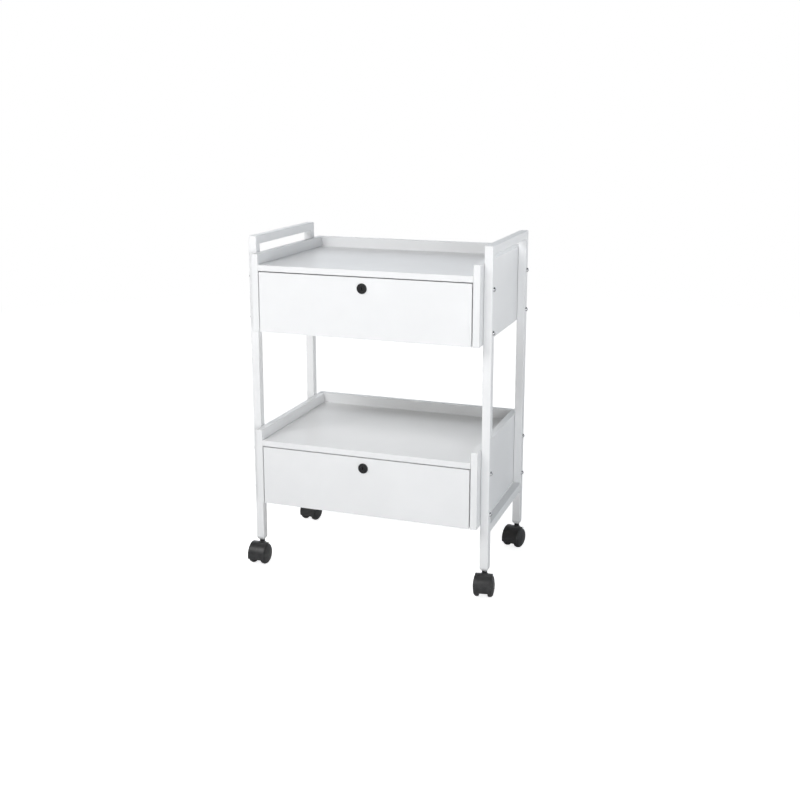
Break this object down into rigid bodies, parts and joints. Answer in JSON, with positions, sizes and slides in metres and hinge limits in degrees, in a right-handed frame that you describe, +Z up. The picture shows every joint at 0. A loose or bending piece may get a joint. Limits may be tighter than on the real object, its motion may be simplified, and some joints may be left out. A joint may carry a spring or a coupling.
{
  "type": "rolling salon trolley",
  "caption": "Salon trolley with square-tube side frames, lockable drawers under lipped tray tops, push bars and swivel casters.",
  "frame": {"origin": "on the floor under the middle of the trolley, between the four casters", "axes": "+X to the user's right as they face the drawers, -Y to the front where the drawers open, +Z up"},
  "size_m": [0.6208, 0.3922, 0.805],
  "materials": {
    "powder_coated_steel": "white powder coat, fine orange peel, semi-gloss",
    "white_board": "white foil-faced particle board, satin",
    "drawer_bottom_board": "white lacquered hardboard, matte",
    "zinc_plated_steel": "bright zinc plate",
    "black_lock_metal": "black lacquered zinc die casting, semi-gloss",
    "white_plastic": "moulded white polyethylene",
    "black_nylon": "charcoal moulded nylon, fine texture"
  },
  "bodies": {
    "root": {"left_side_frame": "powder_coated_steel", "right_side_frame": "powder_coated_steel", "upper_left_panel": "white_board", "upper_right_panel": "white_board", "upper_back_panel": "white_board", "upper_tray_shelf": "white_board", "lower_left_panel": "white_board", "lower_right_panel": "white_board", "lower_back_panel": "white_board", "lower_tray_shelf": "white_board", "upper_left_cabinet_rail": "zinc_plated_steel", "upper_right_cabinet_rail": "zinc_plated_steel", "lower_left_cabinet_rail": "zinc_plated_steel", "lower_right_cabinet_rail": "zinc_plated_steel", "front_left_end_plug": "white_plastic", "front_right_end_plug": "white_plastic", "rear_left_end_plug": "white_plastic", "rear_right_end_plug": "white_plastic", "front_left_caster_stem": "zinc_plated_steel", "front_right_caster_stem": "zinc_plated_steel", "rear_left_caster_stem": "zinc_plated_steel", "rear_right_caster_stem": "zinc_plated_steel"},
    "upper_drawer": {"upper_drawer_front": "white_board", "upper_drawer_left_side": "white_board", "upper_drawer_right_side": "white_board", "upper_drawer_back": "white_board", "upper_drawer_bottom": "drawer_bottom_board", "upper_left_drawer_rail": "zinc_plated_steel", "upper_right_drawer_rail": "zinc_plated_steel", "upper_lock_housing": "black_lock_metal", "upper_lock_nut": "zinc_plated_steel"},
    "upper_lock": {"upper_lock_plug": "black_lock_metal", "upper_lock_cam": "zinc_plated_steel"},
    "lower_drawer": {"lower_drawer_front": "white_board", "lower_drawer_left_side": "white_board", "lower_drawer_right_side": "white_board", "lower_drawer_back": "white_board", "lower_drawer_bottom": "drawer_bottom_board", "lower_left_drawer_rail": "zinc_plated_steel", "lower_right_drawer_rail": "zinc_plated_steel", "lower_lock_housing": "black_lock_metal", "lower_lock_nut": "zinc_plated_steel"},
    "lower_lock": {"lower_lock_plug": "black_lock_metal", "lower_lock_cam": "zinc_plated_steel"},
    "front_left_caster": {"front_left_caster_hood": "black_nylon", "front_left_caster_axle": "zinc_plated_steel"},
    "front_right_caster": {"front_right_caster_hood": "black_nylon", "front_right_caster_axle": "zinc_plated_steel"},
    "rear_left_caster": {"rear_left_caster_hood": "black_nylon", "rear_left_caster_axle": "zinc_plated_steel"},
    "rear_right_caster": {"rear_right_caster_hood": "black_nylon", "rear_right_caster_axle": "zinc_plated_steel"},
    "front_left_caster_wheel_l": {"front_left_caster_left_wheel": "black_nylon"},
    "front_left_caster_wheel_r": {"front_left_caster_right_wheel": "black_nylon"},
    "front_right_caster_wheel_l": {"front_right_caster_left_wheel": "black_nylon"},
    "front_right_caster_wheel_r": {"front_right_caster_right_wheel": "black_nylon"},
    "rear_left_caster_wheel_l": {"rear_left_caster_left_wheel": "black_nylon"},
    "rear_left_caster_wheel_r": {"rear_left_caster_right_wheel": "black_nylon"},
    "rear_right_caster_wheel_l": {"rear_right_caster_left_wheel": "black_nylon"},
    "rear_right_caster_wheel_r": {"rear_right_caster_right_wheel": "black_nylon"}
  },
  "joints": [
    {"name": "upper_drawer_slide", "type": "slide", "parent": "root", "child": "upper_drawer", "axis": [0, -1, 0], "range_m": [0, 0.25]},
    {"name": "lower_drawer_slide", "type": "slide", "parent": "root", "child": "lower_drawer", "axis": [0, -1, 0], "range_m": [0, 0.25]},
    {"name": "upper_lock_turn", "type": "hinge", "parent": "upper_drawer", "child": "upper_lock", "pos_m": [0, -0.18, 0.701], "axis": [0, 1, 0], "range_deg": [0, 90]},
    {"name": "lower_lock_turn", "type": "hinge", "parent": "lower_drawer", "child": "lower_lock", "pos_m": [0, -0.18, 0.2815], "axis": [0, 1, 0], "range_deg": [0, 90]},
    {"name": "front_left_swivel", "type": "hinge", "parent": "root", "child": "front_left_caster", "pos_m": [-0.283, -0.1555, 0.05], "axis": [0, 0, 1], "continuous": true},
    {"name": "front_right_swivel", "type": "hinge", "parent": "root", "child": "front_right_caster", "pos_m": [0.283, -0.1555, 0.05], "axis": [0, 0, 1], "continuous": true},
    {"name": "rear_left_swivel", "type": "hinge", "parent": "root", "child": "rear_left_caster", "pos_m": [-0.283, 0.1555, 0.05], "axis": [0, 0, 1], "continuous": true},
    {"name": "rear_right_swivel", "type": "hinge", "parent": "root", "child": "rear_right_caster", "pos_m": [0.283, 0.1555, 0.05], "axis": [0, 0, 1], "continuous": true},
    {"name": "front_left_roll_l", "type": "hinge", "parent": "front_left_caster", "child": "front_left_caster_wheel_l", "pos_m": [-0.28288, -0.1695, 0.02528], "axis": [1, 0.0087, 0], "continuous": true},
    {"name": "front_left_roll_r", "type": "hinge", "parent": "front_left_caster", "child": "front_left_caster_wheel_r", "pos_m": [-0.28288, -0.1695, 0.02528], "axis": [1, 0.0087, 0], "continuous": true},
    {"name": "front_right_roll_l", "type": "hinge", "parent": "front_right_caster", "child": "front_right_caster_wheel_l", "pos_m": [0.28531, -0.16931, 0.02528], "axis": [0.9863, 0.165, 0], "continuous": true},
    {"name": "front_right_roll_r", "type": "hinge", "parent": "front_right_caster", "child": "front_right_caster_wheel_r", "pos_m": [0.28531, -0.16931, 0.02528], "axis": [0.9863, 0.165, 0], "continuous": true},
    {"name": "rear_left_roll_l", "type": "hinge", "parent": "rear_left_caster", "child": "rear_left_caster_wheel_l", "pos_m": [-0.2841, 0.14154, 0.02528], "axis": [0.9969, -0.0785, 0], "continuous": true},
    {"name": "rear_left_roll_r", "type": "hinge", "parent": "rear_left_caster", "child": "rear_left_caster_wheel_r", "pos_m": [-0.2841, 0.14154, 0.02528], "axis": [0.9969, -0.0785, 0], "continuous": true},
    {"name": "rear_right_roll_l", "type": "hinge", "parent": "rear_right_caster", "child": "rear_right_caster_wheel_l", "pos_m": [0.27961, 0.14192, 0.02528], "axis": [0.9703, -0.2419, 0], "continuous": true},
    {"name": "rear_right_roll_r", "type": "hinge", "parent": "rear_right_caster", "child": "rear_right_caster_wheel_r", "pos_m": [0.27961, 0.14192, 0.02528], "axis": [0.9703, -0.2419, 0], "continuous": true}
  ]
}
